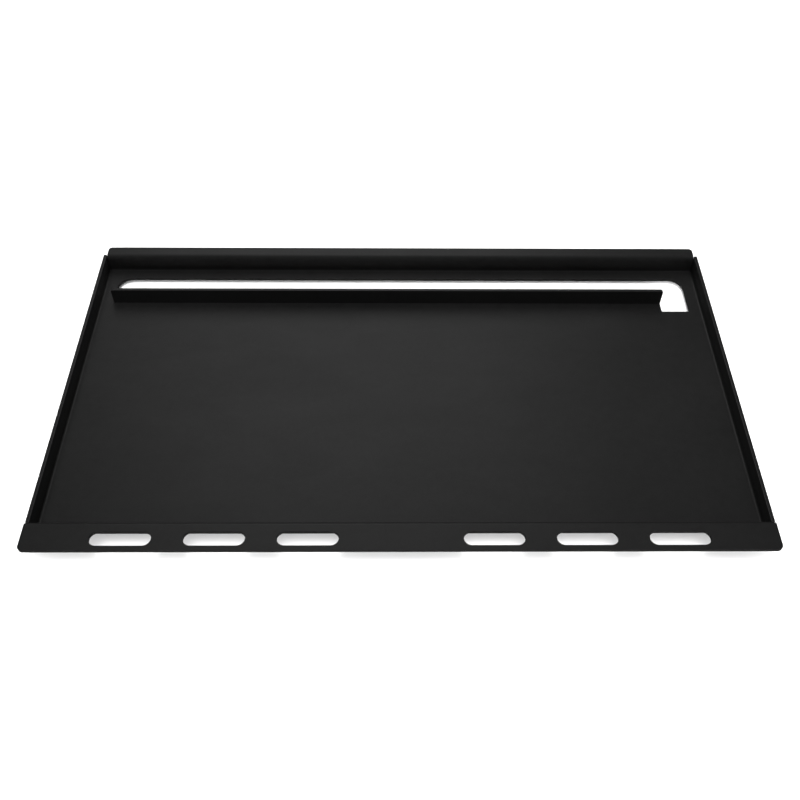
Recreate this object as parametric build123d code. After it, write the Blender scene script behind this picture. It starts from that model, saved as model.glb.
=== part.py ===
from build123d import *
from math import atan2, cos, degrees, pi, tan
import os

# Flat top griddle insert: a black carbon-steel pan with a vented front ledge,
# a grease slot and dam at the back, and a grease drain at the right-hand end.
# Frame: X to the right, Y to the back, Z up. The origin is the centre of the
# footprint, on the surface that the griddle stands on. All sizes are in mm.

# ---- driving dimensions ----
WIDTH = 871.4            # over the side walls
DEPTH = 508.8            # front ledge edge to back flange edge
PLATE = 4.3              # steel thickness, everywhere
STAND_OFF = 5.0          # floor underside above the resting surface
WALL_RISE = 26.0         # wall top above the floor surface
BEND_IN = 2.0            # inside radius of every bend
LEDGE_OUT = 38.9         # ledge edge to the top of the front wall's inner face
FRONT_SETBACK = 2.8      # the front wall leans out: its foot is further back
FLANGE_OUT = 20.1        # flange edge to the inner face of the back wall
LEDGE_OVERHANG = 0.9     # ledge past each side wall
BACK_SEAM = 0.6          # gap between the back wall and each side wall
LEDGE_CORNER_R = 6.5     # rounded corners of the ledge
FLANGE_CORNER_R = 5.0    # rounded corners of the flange

VENT_LENGTH = 71.0
VENT_WIDTH = 18.4
VENT_PITCH = 107.2
VENT_EDGE = 15.7         # ledge edge to the vent centre line
VENT_SHIFT = -1.0        # the row of vents sits this far to the right
VENT_STEPS = [-3, -2, -1, 1, 2, 3]   # the middle place has no vent

SLOT_HALF = 413.8        # half length of the grease slot
SLOT_BACK_GAP = 17.5     # back wall to the slot
SLOT_DEPTH = 50.8
SLOT_CORNER_R = 20.5
DRAIN_WIDTH = 40.2
DRAIN_FORWARD = 15.9     # drain past the slot, to the front
DRAIN_CORNER_R = 1.0

DAM_RISE = 24.7          # dam top above the floor surface
DAM_CORNER_R = 4.0
DAM_END_GAP = 1.0        # slot end to the dam, at the left
DAM_END_OVER = 0.3       # dam past the drain's left edge

WALL_TO_BEND = 1.7       # side wall top past the front wall's inner face
NOTCH_CLEAR = 0.4        # side wall to the ledge bend

FLOOR_WELD_LEG = 3.6     # under the floor, along each side wall
INNER_WELD_LEG = 2.8     # on the floor, along each side wall
CORNER_BEAD_R = 2.6      # weld at each upright corner
DAM_BEAD_R = 2.4

BAR_X = 215.0            # stiffener bar from the middle
BAR_WIDTH = 25.0
BAR_LENGTH = 330.0
BAR_FRONT = 22.0         # front wall to the bar
STITCH_LENGTH = 30.0
STITCH_LEG = 3.4
STITCH_ENDS = 18.0       # bar end to the first stitch centre
BAR_CORNER_R = 3.0
WALL_FOOT_R = 6.0        # lower corners of the side walls
FLOOR_WELD_END = 10.0    # front and back walls to the weld's ends
BEAD_END = 1.0           # bend to the end of a bead
BEAD_ROUNDING = 0.6      # end rounding of a round bead, as a share of its radius
DAM_BEAD_LEFT = 6.0      # slot end to the dam's bead
DAM_BEAD_RIGHT = 4.0     # drain to the dam's bead
DAM_BEAD_SHIFT = 0.4     # bead centre behind the dam's front face
CUT = 2.0                # cutting tools run past the sheet by this much

# ---- derived ----
BEND_OUT = BEND_IN + PLATE
Z_UNDER = STAND_OFF
Z_FLOOR = STAND_OFF + PLATE
Z_TOP = Z_FLOOR + WALL_RISE
Z_LIP = Z_TOP - PLATE
Y_FRONT = -DEPTH / 2
Y_BACK = DEPTH / 2
Y_FRONT_IN = Y_FRONT + LEDGE_OUT
LEAN = atan2(FRONT_SETBACK, WALL_RISE)
Y_FRONT_OUT = Y_FRONT_IN + PLATE * tan(LEAN) - PLATE / cos(LEAN)
Y_BACK_IN = Y_BACK - FLANGE_OUT
Y_BACK_OUT = Y_BACK_IN + PLATE
X_OUT = WIDTH / 2
X_IN = X_OUT - PLATE
X_LEDGE = X_OUT + LEDGE_OVERHANG
X_BACK = X_IN - BACK_SEAM
Y_SLOT_BACK = Y_BACK_IN - SLOT_BACK_GAP
Y_SLOT_FRONT = Y_SLOT_BACK - SLOT_DEPTH
X_DRAIN_LEFT = SLOT_HALF - DRAIN_WIDTH


def block(x0, x1, y0, y1, z0, z1):
    """Box between opposite corners."""
    size = Box(x1 - x0, y1 - y0, z1 - z0)
    return Pos((x0 + x1) / 2, (y0 + y1) / 2, (z0 + z1) / 2) * size


def at_corner(vertex, y, z):
    """True for a profile corner at the given place."""
    return abs(vertex.Y - y) < 0.01 and abs(vertex.Z - z) < 0.01


def round_corner(face, y, z, radius):
    """Round one corner of a side profile."""
    picked = [v for v in face.vertices() if at_corner(v, y, z)]
    return fillet(picked, radius)


def along_x(points, x0, x1, corners=()):
    """Side profile (Y, Z) carried along X, with some corners rounded."""
    outline = Polyline(*[(0, y, z) for y, z in points], close=True)
    face = make_face(outline)
    sketch = Sketch() + face
    for y, z, radius in corners:
        sketch = round_corner(sketch, y, z, radius)
    return Pos(x0, 0, 0) * extrude(sketch, x1 - x0, dir=(1, 0, 0))


def plan_corners(solid, y, radius):
    """Round the upright edges of a flange at its outer edge."""
    edges = [e for e in solid.edges().filter_by(Axis.Z) if abs(e.center().Y - y) < 0.01]
    return fillet(edges, radius)


def front_face(z):
    """Y of the front wall's outer face at height z."""
    return Y_FRONT_OUT + (Z_LIP - z) * tan(LEAN)


# ---- the formed sheet: floor, front wall and ledge, back wall and flange ----
def formed_sheet():
    y_foot_in = Y_FRONT_IN + FRONT_SETBACK
    y_foot_out = front_face(Z_UNDER)
    points = [
        (Y_FRONT, Z_TOP),
        (Y_FRONT_IN, Z_TOP),
        (y_foot_in, Z_FLOOR),
        (Y_BACK_IN, Z_FLOOR),
        (Y_BACK_IN, Z_TOP),
        (Y_BACK, Z_TOP),
        (Y_BACK, Z_LIP),
        (Y_BACK_OUT, Z_LIP),
        (Y_BACK_OUT, Z_UNDER),
        (y_foot_out, Z_UNDER),
        (Y_FRONT_OUT, Z_LIP),
        (Y_FRONT, Z_LIP),
    ]
    corners = [
        (Y_FRONT_IN, Z_TOP, BEND_OUT),
        (y_foot_in, Z_FLOOR, BEND_IN),
        (Y_BACK_IN, Z_FLOOR, BEND_IN),
        (Y_BACK_IN, Z_TOP, BEND_OUT),
        (Y_BACK_OUT, Z_LIP, BEND_IN),
        (Y_BACK_OUT, Z_UNDER, BEND_OUT),
        (y_foot_out, Z_UNDER, BEND_OUT),
        (Y_FRONT_OUT, Z_LIP, BEND_IN),
    ]
    sheet = along_x(points, -X_LEDGE, X_LEDGE, corners)

    # Below the ledge's bend, the sheet fits between the side walls.
    z_bend = Z_TOP - BEND_OUT
    y_mid = (Y_FRONT + Y_BACK) / 2
    for side in (-1, 1):
        x_a, x_b = sorted((side * X_IN, side * (X_LEDGE + CUT)))
        sheet -= block(x_a, x_b, Y_FRONT - CUT, y_mid, 0, z_bend)
        y_trim = Y_FRONT_IN - WALL_TO_BEND - NOTCH_CLEAR
        sheet -= block(x_a, x_b, y_trim, y_mid, 0, Z_TOP + CUT)
        sheet -= block(x_a, x_b, y_mid, Y_BACK + CUT, 0, Z_TOP + CUT)
        x_a, x_b = sorted((side * X_BACK, side * (X_LEDGE + CUT)))
        sheet -= block(x_a, x_b, Y_BACK_IN - BEND_IN, Y_BACK + CUT, 0, Z_TOP + CUT)
    sheet = plan_corners(sheet, Y_FRONT, LEDGE_CORNER_R)
    sheet = plan_corners(sheet, Y_BACK, FLANGE_CORNER_R)

    # Vents through the ledge.
    vent = extrude(SlotOverall(VENT_LENGTH, VENT_WIDTH), PLATE + 2 * CUT)
    for step in VENT_STEPS:
        x_vent = VENT_SHIFT + step * VENT_PITCH
        sheet -= Pos(x_vent, Y_FRONT + VENT_EDGE, Z_LIP - CUT) * vent

    # Grease slot with two large back corners, and the drain at its right end.
    slot = block(-SLOT_HALF, SLOT_HALF, Y_SLOT_FRONT, Y_SLOT_BACK, 0, Z_FLOOR + CUT)
    ends = [e for e in slot.edges().filter_by(Axis.Z) if e.center().Y > Y_SLOT_BACK - 1]
    slot = fillet(ends, SLOT_CORNER_R)
    y_drain = Y_SLOT_FRONT - DRAIN_FORWARD
    drain = block(X_DRAIN_LEFT, SLOT_HALF, y_drain, Y_SLOT_BACK - SLOT_CORNER_R, 0, Z_FLOOR + CUT)
    front = [e for e in drain.edges().filter_by(Axis.Z) if e.center().Y < Y_SLOT_FRONT]
    drain = fillet(front, DRAIN_CORNER_R)
    return sheet - slot - drain


# ---- side walls: they run below the floor, so the griddle stands on them ----
def side_wall(side):
    y_step = Y_FRONT_IN - WALL_TO_BEND
    y_foot = front_face(0)
    z_step = Z_TOP - BEND_OUT - NOTCH_CLEAR
    points = [
        (y_foot, 0),
        (Y_BACK_OUT, 0),
        (Y_BACK_OUT, Z_TOP),
        (y_step, Z_TOP),
        (y_step, z_step),
        (front_face(z_step), z_step),
    ]
    corners = [(y_foot, 0, WALL_FOOT_R), (Y_BACK_OUT, 0, WALL_FOOT_R)]
    x0 = X_IN if side > 0 else -X_OUT
    return along_x(points, x0, x0 + PLATE, corners)


# ---- grease dam: a strip against the front cut edge of the slot ----
def grease_dam():
    z_dam = Z_FLOOR + DAM_RISE
    x0 = -SLOT_HALF + DAM_END_GAP
    x1 = X_DRAIN_LEFT + DAM_END_OVER
    dam = block(x0, x1, Y_SLOT_FRONT, Y_SLOT_FRONT + PLATE, Z_UNDER, z_dam)
    tops = dam.edges().filter_by(Axis.Y).group_by(Axis.Z)[-1]
    return fillet(tops, DAM_CORNER_R)


# ---- weld beads ----
def floor_weld(side):
    """Fillet under the floor, along one side wall."""
    x_wall = side * X_IN
    x_leg = side * (X_IN - FLOOR_WELD_LEG)
    outline = Polyline(
        (x_wall, 0, Z_UNDER),
        (x_leg, 0, Z_UNDER),
        (x_wall, 0, Z_UNDER - FLOOR_WELD_LEG),
        close=True,
    )
    y0 = Y_FRONT_IN + FLOOR_WELD_END
    y1 = Y_BACK_IN - FLOOR_WELD_END
    face = Sketch() + make_face(outline)
    return Pos(0, y0, 0) * extrude(face, y1 - y0, dir=(0, 1, 0))


def inner_weld(side):
    """Hollow-faced fillet on the floor, along one side wall."""
    x_wall = side * X_IN
    x_leg = side * (X_IN - INNER_WELD_LEG)
    z_leg = Z_FLOOR + INNER_WELD_LEG
    # The face is an arc that starts level with the floor and ends upright.
    bow = INNER_WELD_LEG * (1 - cos(pi / 4))
    middle = (x_wall - side * bow, 0, Z_FLOOR + bow)
    face_line = ThreePointArc((x_leg, 0, Z_FLOOR), middle, (x_wall, 0, z_leg))
    foot = Line((x_leg, 0, Z_FLOOR), (x_wall, 0, Z_FLOOR))
    rise = Line((x_wall, 0, Z_FLOOR), (x_wall, 0, z_leg))
    face = Sketch() + make_face(Curve() + [face_line, foot, rise])
    y0 = Y_FRONT_IN + FRONT_SETBACK + BEND_IN + BEAD_END
    y1 = Y_BACK_IN - BEND_IN - BEAD_END
    return Pos(0, y0, 0) * extrude(face, y1 - y0, dir=(0, 1, 0))


def upright_bead(x, y, z0, z1, radius):
    """Round bead standing along Z."""
    rod = Pos(x, y, (z0 + z1) / 2) * Cylinder(radius, z1 - z0)
    return fillet(rod.edges().filter_by(GeomType.CIRCLE), radius * BEAD_ROUNDING)


def back_corner_weld(side):
    z0 = Z_UNDER + BEND_OUT + BEAD_END
    z1 = Z_TOP - BEND_OUT - BEAD_END
    bead = upright_bead(side * X_IN, Y_BACK_OUT, z0, z1, CORNER_BEAD_R)
    return bead & block(-X_OUT, X_OUT, Y_BACK_OUT, Y_BACK, 0, Z_TOP)


def front_corner_weld(side):
    z0 = Z_UNDER + BEND_OUT + BEAD_END
    z1 = Z_TOP - BEND_OUT - 2 * BEAD_END
    bead = upright_bead(side * X_IN, 0, z0, z1, CORNER_BEAD_R)
    bead &= block(-X_OUT, X_OUT, -CORNER_BEAD_R, 0, 0, Z_TOP)
    on_wall = Pos(0, front_face(0), 0) * Rot(degrees(LEAN), 0, 0)
    return on_wall * bead


def dam_weld():
    """Bead under the joint between the dam and the floor."""
    x0 = -SLOT_HALF + DAM_BEAD_LEFT
    x1 = X_DRAIN_LEFT - DAM_BEAD_RIGHT
    y_bead = Y_SLOT_FRONT + DAM_BEAD_SHIFT
    rod = Rot(0, 90, 0) * Cylinder(DAM_BEAD_R, x1 - x0)
    rod = fillet(rod.edges().filter_by(GeomType.CIRCLE), DAM_BEAD_R * BEAD_ROUNDING)
    rod = Pos((x0 + x1) / 2, y_bead, Z_UNDER) * rod
    return rod & block(x0, x1, y_bead - DAM_BEAD_R, y_bead + DAM_BEAD_R, 0, Z_UNDER)


# ---- stiffener bars under the floor, held by short stitches ----
def stiffener(side):
    y0 = Y_FRONT_IN + BAR_FRONT
    x = side * BAR_X
    half = BAR_WIDTH / 2
    bar = block(x - half, x + half, y0, y0 + BAR_LENGTH, 0, STAND_OFF)
    return fillet(bar.edges().filter_by(Axis.Z), BAR_CORNER_R)


def stitch(x, y, side):
    """Short fillet between a bar's side and the floor's underside."""
    outline = Polyline(
        (x, y - STITCH_LENGTH / 2, Z_UNDER),
        (x + side * STITCH_LEG, y - STITCH_LENGTH / 2, Z_UNDER),
        (x, y - STITCH_LENGTH / 2, Z_UNDER - STITCH_LEG),
        close=True,
    )
    face = Sketch() + make_face(outline)
    return extrude(face, STITCH_LENGTH, dir=(0, 1, 0))


def stitches():
    y0 = Y_FRONT_IN + BAR_FRONT
    first = y0 + STITCH_ENDS
    last = y0 + BAR_LENGTH - STITCH_ENDS
    beads = []
    for bar in (-1, 1):
        for edge in (-1, 1):
            for y in (first, (first + last) / 2, last):
                x = bar * BAR_X + edge * BAR_WIDTH / 2
                beads.append(stitch(x, y, edge))
    return Compound(beads)


parts = {
    "griddle_plate": formed_sheet(),
    "left_side_wall": side_wall(-1),
    "right_side_wall": side_wall(1),
    "grease_dam": grease_dam(),
    "left_floor_weld": floor_weld(-1),
    "right_floor_weld": floor_weld(1),
    "left_inner_weld": inner_weld(-1),
    "right_inner_weld": inner_weld(1),
    "back_left_corner_weld": back_corner_weld(-1),
    "back_right_corner_weld": back_corner_weld(1),
    "front_left_corner_weld": front_corner_weld(-1),
    "front_right_corner_weld": front_corner_weld(1),
    "dam_weld": dam_weld(),
    "left_stiffener": stiffener(-1),
    "right_stiffener": stiffener(1),
    "stiffener_stitches": stitches(),
}

os.makedirs("parts", exist_ok=True)
for name, shape in parts.items():
    export_step(shape, os.path.join("parts", name + ".step"))
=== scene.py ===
import bpy, bmesh, math
from mathutils import Matrix, Vector


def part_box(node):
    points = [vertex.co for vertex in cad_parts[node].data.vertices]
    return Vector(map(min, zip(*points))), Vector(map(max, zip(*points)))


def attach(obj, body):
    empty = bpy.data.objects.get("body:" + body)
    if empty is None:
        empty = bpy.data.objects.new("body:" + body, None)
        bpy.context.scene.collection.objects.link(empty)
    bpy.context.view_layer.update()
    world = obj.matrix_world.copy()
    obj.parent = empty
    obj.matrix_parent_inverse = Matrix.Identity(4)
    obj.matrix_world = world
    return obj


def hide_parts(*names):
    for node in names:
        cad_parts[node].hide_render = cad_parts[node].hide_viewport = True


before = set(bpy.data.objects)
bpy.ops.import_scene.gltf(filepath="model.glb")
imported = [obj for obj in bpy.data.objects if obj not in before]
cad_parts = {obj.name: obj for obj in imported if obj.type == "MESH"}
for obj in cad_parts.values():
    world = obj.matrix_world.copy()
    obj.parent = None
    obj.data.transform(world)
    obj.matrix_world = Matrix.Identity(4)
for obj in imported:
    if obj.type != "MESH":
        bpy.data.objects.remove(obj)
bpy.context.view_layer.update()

# Looks of the flat top griddle: black seasoned steel, softened sheet edges and
# rippled weld beads, on a white studio floor. Metres; X right, Y back, Z up.

RIGHT, BACK, UP = Vector((1, 0, 0)), Vector((0, 1, 0)), Vector((0, 0, 1))

# ---- camera: where it stands, how it is turned, and its lens ----
CAM_POS = Vector((-0.0038, -0.7868, 0.9628))
PITCH, YAW, ROLL = math.radians(50.965), math.radians(1.27), math.radians(-1.018)
LENS, SHIFT_X, SENSOR = 41.84, -0.01497, 36.0

# ---- edges and welds ----
EDGE_SOFT = 0.00045      # width of the softened sheet edges
EDGE_STEPS = 3
SHARP = math.radians(35)
SAME_PLACE = 0.00001     # CAD points closer than this are one point
SAME_PLANE = math.radians(0.5)
DOWNWARD = -0.8          # faces whose normal is below this are undersides
RIPPLE_PITCH = 0.0026    # distance between weld ripples
RIPPLE_RINGS = 6         # rings of points to one ripple
RIPPLE_LAG = 0.45        # how far a crescent trails at the middle of the bead
LEAST_RINGS = 8
BLUNT_END = 0.02         # keeps a bead's end from closing to a point
BEAD_SHARP = math.radians(60)
SINK = 0.00025           # how far a bead runs into the plates beside it
STITCH_LENGTH = 0.030

# ---- seasoned steel: its darkest and lightest colour, gloss and grain depth ----
BLACK_DARK, BLACK_LIGHT = (0.0175, 0.0175, 0.0175), (0.0235, 0.0235, 0.0235)
BLACK_ROUGH, BLACK_GLOSS, GRAIN = 0.48, 0.5, 0.00002
STUDIO_SIZE = 30


def link(obj):
    bpy.context.scene.collection.objects.link(obj)
    return obj


# =============================== materials ===============================
class Nodes:
    """Short hand for building a node material on object coordinates."""

    def __init__(self, name):
        self.mat = bpy.data.materials.new(name)
        self.mat.use_nodes = True
        self.tree = self.mat.node_tree
        self.bsdf = self.tree.nodes["Principled BSDF"]
        self.place = self.tree.nodes.new("ShaderNodeTexCoord").outputs["Object"]

    def join(self, a, b):
        self.tree.links.new(a, b)

    def stretched(self, scale):
        node = self.tree.nodes.new("ShaderNodeMapping")
        node.inputs["Scale"].default_value = scale
        self.join(self.place, node.inputs["Vector"])
        return node.outputs["Vector"]

    def noise(self, scale, detail=3.0, rough=0.55, stretch=(1, 1, 1), warp=0.0):
        node = self.tree.nodes.new("ShaderNodeTexNoise")
        node.inputs["Scale"].default_value = scale
        node.inputs["Detail"].default_value = detail
        node.inputs["Roughness"].default_value = rough
        node.inputs["Distortion"].default_value = warp
        self.join(self.stretched(stretch), node.inputs["Vector"])
        return node.outputs["Fac"]

    def remap(self, value, low, high, start=0.3, end=0.7):
        node = self.tree.nodes.new("ShaderNodeMapRange")
        node.inputs["From Min"].default_value = start
        node.inputs["From Max"].default_value = end
        node.inputs["To Min"].default_value = low
        node.inputs["To Max"].default_value = high
        self.join(value, node.inputs["Value"])
        return node.outputs["Result"]

    def math(self, kind, a, b):
        node = self.tree.nodes.new("ShaderNodeMath")
        node.operation = kind
        for socket, value in zip(node.inputs, (a, b)):
            if isinstance(value, (int, float)):
                socket.default_value = value
            else:
                self.join(value, socket)
        return node.outputs["Value"]

    def blend(self, fac, a, b):
        node = self.tree.nodes.new("ShaderNodeMix")
        node.data_type = "RGBA"
        sockets = [s for s in node.inputs if s.type == "RGBA"]
        for socket, value in zip(sockets, (a, b)):
            if isinstance(value, tuple):
                socket.default_value = (*value, 1)
            else:
                self.join(value, socket)
        self.join(fac, node.inputs["Factor"])
        return [s for s in node.outputs if s.type == "RGBA"][0]

    def scaled(self, colour, factor):
        node = self.tree.nodes.new("ShaderNodeVectorMath")
        node.operation = "SCALE"
        self.join(colour, node.inputs[0])
        self.join(factor, node.inputs["Scale"])
        return node.outputs["Vector"]

    def bump(self, heights):
        """Chain of (height, depth in metres) bumps."""
        normal = None
        for height, depth in heights:
            node = self.tree.nodes.new("ShaderNodeBump")
            node.inputs["Strength"].default_value = 1.0
            node.inputs["Distance"].default_value = depth
            self.join(height, node.inputs["Height"])
            if normal:
                self.join(normal, node.inputs["Normal"])
            normal = node.outputs["Normal"]
        self.join(normal, self.bsdf.inputs["Normal"])


def steel(name, dark, light, rough, gloss, grain, tint=None):
    """Seasoned black steel: cloudy oil film, mill scale mottling and fine grain."""
    n = Nodes(name)
    clouds = n.noise(4.2, 5.0, 0.58, (1.0, 1.35, 1.0), 0.5)
    smears = n.noise(9.0, 4.0, 0.6, (1.0, 2.4, 1.0), 0.9)
    scale_marks = n.noise(85.0, 4.0, 0.62)
    fine = n.noise(900.0, 2.0, 0.5)
    rolled = n.noise(260.0, 3.0, 0.55, (0.12, 1.0, 1.0))
    colour = n.blend(n.remap(clouds, 0.0, 1.0), dark, light)
    if tint:
        colour = n.blend(n.remap(scale_marks, 0.0, 1.0, 0.42, 0.72), colour, tint)
    mottle = n.remap(scale_marks, 0.9, 1.1)
    speckle = n.remap(fine, 0.88, 1.12)
    n.join(n.scaled(n.scaled(colour, mottle), speckle), n.bsdf.inputs["Base Color"])
    film = n.math("ADD", n.remap(clouds, -0.035, 0.035), n.remap(smears, -0.025, 0.025))
    film = n.math("ADD", film, n.remap(scale_marks, -0.012, 0.012))
    n.join(n.math("ADD", film, rough), n.bsdf.inputs["Roughness"])
    n.bsdf.inputs["Specular IOR Level"].default_value = gloss
    n.bump([(scale_marks, 0.00005), (rolled, 0.000012), (fine, grain)])
    return n.mat


STEEL = steel("seasoned_steel", BLACK_DARK, BLACK_LIGHT, BLACK_ROUGH, BLACK_GLOSS, GRAIN)
# Sheared edges and their rounds get a lighter steel: a painted highlight standing in for the light
# that the sheet edges catch.
EDGE_HIGHLIGHT_STEEL = steel("edge_steel_painted_highlight", (0.060, 0.060, 0.0605), (0.078, 0.078, 0.0785), 0.42, 0.4, GRAIN)
UNDER = steel(
    "underside_steel", (0.027, 0.0265, 0.0262), (0.040, 0.039, 0.038),
    0.55, 0.25, 0.00003, tint=(0.046, 0.040, 0.036),
)
SMOOTH_WELD = steel("smooth_weld", BLACK_DARK, BLACK_LIGHT, BLACK_ROUGH, BLACK_GLOSS, GRAIN)
WELD = steel(
    "weld_bead", (0.034, 0.034, 0.035), (0.052, 0.052, 0.053),
    0.40, 0.35, 0.00004, tint=(0.050, 0.047, 0.052),
)


def studio_white(name):
    n = Nodes(name)
    soft = n.remap(n.noise(3.0, 2.0), 0.985, 1.0)
    colour = n.blend(n.remap(n.noise(400.0, 2.0), 0, 1), (0.895, 0.895, 0.895), (0.905, 0.905, 0.905))
    n.join(n.scaled(colour, soft), n.bsdf.inputs["Base Color"])
    n.bsdf.inputs["Roughness"].default_value = 0.9
    n.bsdf.inputs["Specular IOR Level"].default_value = 0.0
    return n.mat


# ============================ plates with soft edges ============================
def steel_slot(face, flat):
    """Material of a face: 0 seasoned, 1 sheared edge in a lighter steel that is a painted highlight,
    2 plain underside.
    """
    if face.normal.z < DOWNWARD:
        return 2
    return 1 if flat and abs(face.normal.dot(flat)) < 0.5 else 0


def softened(node, flat=None):
    """Detailed copy of a CAD plate: clean faces and a small round on every edge.

    flat is the direction that a plain plate faces; its other faces are sheared edges.
    """
    name = node + "_steel"
    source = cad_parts[node]
    mesh = source.data.copy()
    mesh.transform(source.matrix_world)
    bm = bmesh.new()
    bm.from_mesh(mesh)
    bmesh.ops.remove_doubles(bm, verts=bm.verts, dist=SAME_PLACE)
    bmesh.ops.dissolve_limit(bm, angle_limit=SAME_PLANE, verts=bm.verts, edges=bm.edges)
    for face in bm.faces:
        face.smooth = True
        face.material_index = steel_slot(face, flat)
    bm.to_mesh(mesh)
    bm.free()
    mesh.materials.clear()
    for mat in (STEEL, EDGE_HIGHLIGHT_STEEL, UNDER):
        mesh.materials.append(mat)
    obj = link(bpy.data.objects.new(name, mesh))
    bevel = obj.modifiers.new("soft_edges", "BEVEL")
    bevel.width, bevel.segments = EDGE_SOFT, EDGE_STEPS
    bevel.limit_method, bevel.angle_limit = "ANGLE", SHARP
    # On a flat plate the edge rounds take the lighter edge steel, the painted highlight.
    bevel.material = 1 if flat else 0
    obj.modifiers.new("even_shading", "WEIGHTED_NORMAL").keep_sharp = True
    bake(obj)
    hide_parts(node)
    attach(obj, "root")
    return obj


def bake(obj):
    """Apply the modifiers, so that the mesh itself has the shape."""
    graph = bpy.context.evaluated_depsgraph_get()
    shaped = obj.evaluated_get(graph)
    made = bpy.data.meshes.new_from_object(shaped, preserve_all_data_layers=True, depsgraph=graph)
    obj.modifiers.clear()
    obj.data = made


# ================================= weld beads =================================
def quarter(hollow, steps=7):
    """Section of a fillet, from one leg to the other, in units of its legs."""
    points = []
    for i in range(steps + 1):
        a = math.pi / 2 * i / steps
        full = Vector((math.cos(a), math.sin(a)))
        scooped = Vector((1 - math.sin(a), 1 - math.cos(a)))
        points.append(full.lerp(scooped, hollow))
    return points


def half_round(flat, steps=10):
    """Section of a bead on a flat seam; flat lowers its crown."""
    turn = [math.pi * i / steps for i in range(steps + 1)]
    return [Vector((math.cos(a), math.sin(a) * flat)) for a in turn]


def add_bead(bm, start, end, across, out, section, depth=0.12):
    """Sweep a section from start to end with the crescent ripples of a weld run."""
    along = (end - start).normalized()
    length = (end - start).length
    count = max(LEAST_RINGS, int(length / RIPPLE_PITCH * RIPPLE_RINGS))
    reach = max(across.length, out.length)
    last = len(section) - 1
    rings = []
    for i in range(count + 1):
        s = length * i / count
        near_end = min(s, length - s) / reach
        taper = math.sqrt(max(BLUNT_END, 1 - (1 - min(1, near_end)) ** 2))
        ring = []
        for j, point in enumerate(section):
            crescent = 1 - (2 * j / last - 1) ** 2
            phase = (s / RIPPLE_PITCH + RIPPLE_LAG * crescent) % 1.0
            ridge = 1 - depth * (1 - math.sin(math.pi * phase)) * crescent
            wander = 1 + 0.05 * math.sin(s * 310 + 1.3) + 0.03 * math.sin(s * 770)
            offset = across * point.x + out * point.y
            ring.append(bm.verts.new(start + along * s + offset * taper * ridge * wander))
        root = start + along * s - (across.normalized() + out.normalized()) * SINK
        ring.append(bm.verts.new(root))
        rings.append(ring)
    size = len(rings[0])
    for a, b in zip(rings, rings[1:]):
        for j in range(size):
            k = (j + 1) % size
            bm.faces.new((a[j], a[k], b[k], b[j]))
    bm.faces.new(rings[0])
    bm.faces.new(list(reversed(rings[-1])))


def bead_object(name, node, runs, mat=WELD):
    """One object from a list of weld runs; each run is the arguments of add_bead."""
    bm = bmesh.new()
    for run in runs:
        add_bead(bm, **run)
    bmesh.ops.recalc_face_normals(bm, faces=bm.faces)
    mesh = bpy.data.meshes.new(name)
    bm.to_mesh(mesh)
    bm.free()
    mesh.polygons.foreach_set("use_smooth", [True] * len(mesh.polygons))
    mesh.set_sharp_from_angle(angle=BEAD_SHARP)
    mesh.materials.append(mat)
    obj = link(bpy.data.objects.new(name, mesh))
    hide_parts(node)
    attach(obj, "root")
    return obj


def inner_weld(side, name):
    """Small smooth hollow fillet on the floor along a side wall."""
    low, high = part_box(name)
    leg = high.z - low.z
    x_wall = high.x if side > 0 else low.x
    run = dict(
        start=Vector((x_wall, low.y, low.z)),
        end=Vector((x_wall, high.y, low.z)),
        across=RIGHT * -side * leg,
        out=UP * leg,
        section=quarter(1.0),
        depth=0.04,
    )
    bead_object(name + "_bead", name, [run], SMOOTH_WELD)


def floor_weld(side, name):
    """Fillet in the corner between the floor's underside and a side wall."""
    low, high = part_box(name)
    leg = high.z - low.z
    x_wall = high.x if side > 0 else low.x
    run = dict(
        start=Vector((x_wall, low.y, high.z)),
        end=Vector((x_wall, high.y, high.z)),
        across=RIGHT * -side * leg,
        out=UP * -leg,
        section=quarter(0.35),
    )
    bead_object(name + "_bead", name, [run])


def back_corner_weld(name):
    low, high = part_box(name)
    x = (low.x + high.x) / 2
    run = dict(
        start=Vector((x, low.y, low.z)),
        end=Vector((x, low.y, high.z)),
        across=RIGHT * (high.x - low.x) / 2,
        out=BACK * (high.y - low.y),
        section=half_round(0.8),
    )
    bead_object(name + "_bead", name, [run])


def front_corner_weld(name):
    """This one leans with the front wall."""
    low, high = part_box(name)
    x = (low.x + high.x) / 2
    radius = (high.x - low.x) / 2
    run = dict(
        start=Vector((x, high.y, low.z)),
        end=Vector((x, low.y + radius, high.z)),
        across=RIGHT * radius,
        out=BACK * -radius,
        section=half_round(0.8),
    )
    bead_object(name + "_bead", name, [run])


def dam_weld():
    low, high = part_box("dam_weld")
    y = (low.y + high.y) / 2
    run = dict(
        start=Vector((low.x, y, high.z)),
        end=Vector((high.x, y, high.z)),
        across=BACK * (high.y - low.y) / 2,
        out=UP * (low.z - high.z),
        section=half_round(0.85),
    )
    bead_object("dam_weld_bead", "dam_weld", [run])


def stitches():
    """Three short fillets along each side of both stiffener bars."""
    low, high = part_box("stiffener_stitches")
    leg = high.z - low.z
    half = STITCH_LENGTH / 2
    first, last = low.y + half, high.y - half
    runs = []
    for bar in ("left_stiffener", "right_stiffener"):
        bar_low, bar_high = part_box(bar)
        for x, side in ((bar_low.x, -1), (bar_high.x, 1)):
            for y in (first, (first + last) / 2, last):
                runs.append(dict(
                    start=Vector((x, y - half, high.z)),
                    end=Vector((x, y + half, high.z)),
                    across=RIGHT * side * leg,
                    out=UP * -leg,
                    section=quarter(0.3),
                ))
    bead_object("stiffener_stitch_beads", "stiffener_stitches", runs)


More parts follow.
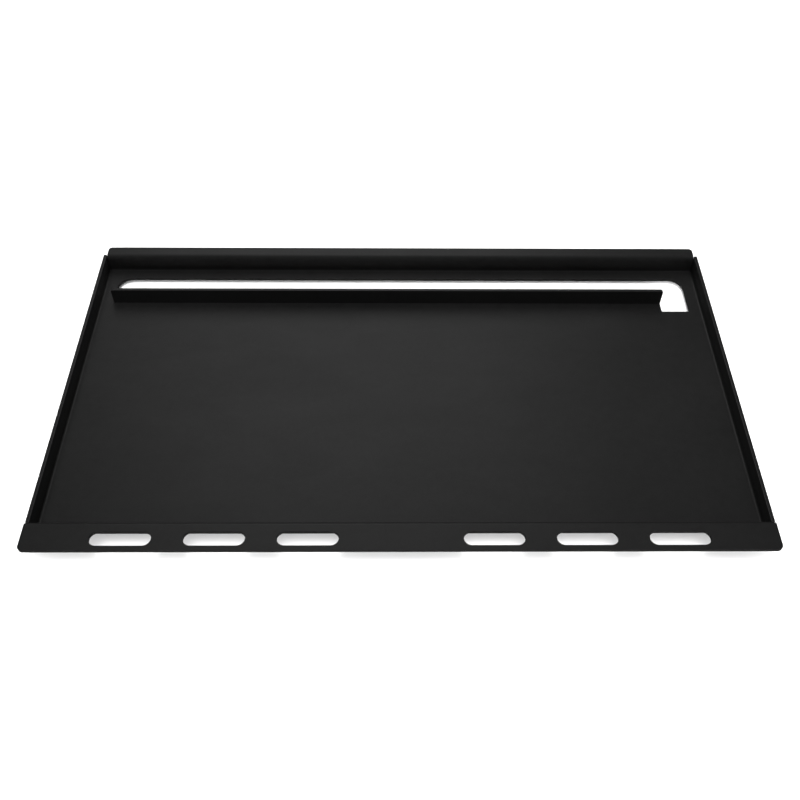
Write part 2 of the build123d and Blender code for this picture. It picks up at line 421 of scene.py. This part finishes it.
# ================================ camera and light ================================
def add_camera():
    level = math.cos(PITCH)
    forward = Vector((math.sin(YAW) * level, math.cos(YAW) * level, -math.sin(PITCH)))
    right = Vector((math.cos(YAW), -math.sin(YAW), 0.0))
    down = forward.cross(right)
    right_rolled = math.cos(ROLL) * right + math.sin(ROLL) * down
    down_rolled = -math.sin(ROLL) * right + math.cos(ROLL) * down
    data = bpy.data.cameras.new("camera")
    data.sensor_width, data.lens, data.shift_x = SENSOR, LENS, SHIFT_X
    data.clip_start, data.clip_end = 0.01, 100.0
    cam = link(bpy.data.objects.new("camera", data))
    turn = Matrix((right_rolled, -down_rolled, -forward)).transposed().to_4x4()
    turn.translation = CAM_POS
    cam.matrix_world = turn
    bpy.context.scene.camera = cam


def aim(obj, position, target):
    obj.location = position
    obj.rotation_euler = (Vector(target) - Vector(position)).to_track_quat("-Z", "Y").to_euler()
    return link(obj)


def softbox(name, position, target, size, power):
    data = bpy.data.lights.new(name, "AREA")
    data.shape, data.size, data.size_y, data.energy = "RECTANGLE", size[0], size[1], power
    return aim(bpy.data.objects.new(name, data), position, target)


def wide_sun(name, position, strength, spread):
    data = bpy.data.lights.new(name, "SUN")
    data.energy, data.angle = strength, math.radians(spread)
    return aim(bpy.data.objects.new(name, data), position, (0, 0, 0))


def world_light(strength):
    world = bpy.data.worlds.new("studio")
    bpy.context.scene.world = world
    world.use_nodes = True
    back = world.node_tree.nodes["Background"]
    back.inputs["Color"].default_value = (1, 1, 1, 1)
    back.inputs["Strength"].default_value = strength


def studio():
    bpy.context.scene.view_settings.view_transform = "Standard"
    bpy.ops.mesh.primitive_plane_add(size=STUDIO_SIZE, location=(0, 0, 0))
    floor = bpy.context.object
    floor.name = "floor"
    floor.data.materials.append(studio_white("studio_white"))
    world_light(0.03)
    # These light the griddle and not the ground. The low ones are strips at
    # wall height, which reach only the outer faces.
    spared = bpy.data.collections.new("spared_floor")
    spared.objects.link(floor)
    spared.collection_objects[0].light_linking.link_state = "EXCLUDE"
    for light in (
        softbox("back_top", (-0.15, 1.03, 1.10), (-0.05, 0, 0), (1.30, 1.10), 3.85),
        softbox("overhead", (0.0, 0.1, 1.6), (0, 0.1, 0), (2.2, 1.6), 2.2),
        softbox("back_low", (0.0, 1.5, 0.02), (0, 0.25, 0.02), (2.0, 0.03), 15.0),
        softbox("left_low", (-1.5, 0.0, 0.02), (-0.4, 0, 0.02), (1.6, 0.03), 12.0),
        softbox("right_low", (1.5, 0.0, 0.02), (0.4, 0, 0.02), (1.6, 0.03), 12.0),
    ):
        light.light_linking.receiver_collection = spared
        light.visible_camera = False
    # Fills for the dull part of the surfaces only.
    for fill in (
        softbox("front_fill", (0.0, -1.5, 0.55), (0, 0.1, 0), (1.6, 0.7), 3.0),
        wide_sun("top_fill", (0.0, -0.1, 1.0), 1.0, 24),
    ):
        fill.visible_glossy = False
    floor.visible_glossy = False
    # These wash the ground only, so that the black steel keeps its depth.
    washed = bpy.data.collections.new("washed_floor")
    washed.objects.link(floor)
    for light in (
        wide_sun("sky_wash", (0.0, -0.05, 1.0), 3.6, 150),
        wide_sun("front_steep_wash", (0.0, -0.22, 1.0), 1.3, 24),
        wide_sun("front_low_wash", (0.0, -1.0, 0.58), 2.6, 24),
    ):
        light.light_linking.receiver_collection = washed


# ==================================== build ====================================
add_camera()
studio()
softened("griddle_plate")
softened("grease_dam", BACK)
for side, word in ((-1, "left"), (1, "right")):
    softened(word + "_side_wall", RIGHT)
    softened(word + "_stiffener", UP)
    inner_weld(side, word + "_inner_weld")
    floor_weld(side, word + "_floor_weld")
    back_corner_weld("back_" + word + "_corner_weld")
    front_corner_weld("front_" + word + "_corner_weld")
dam_weld()
stitches()
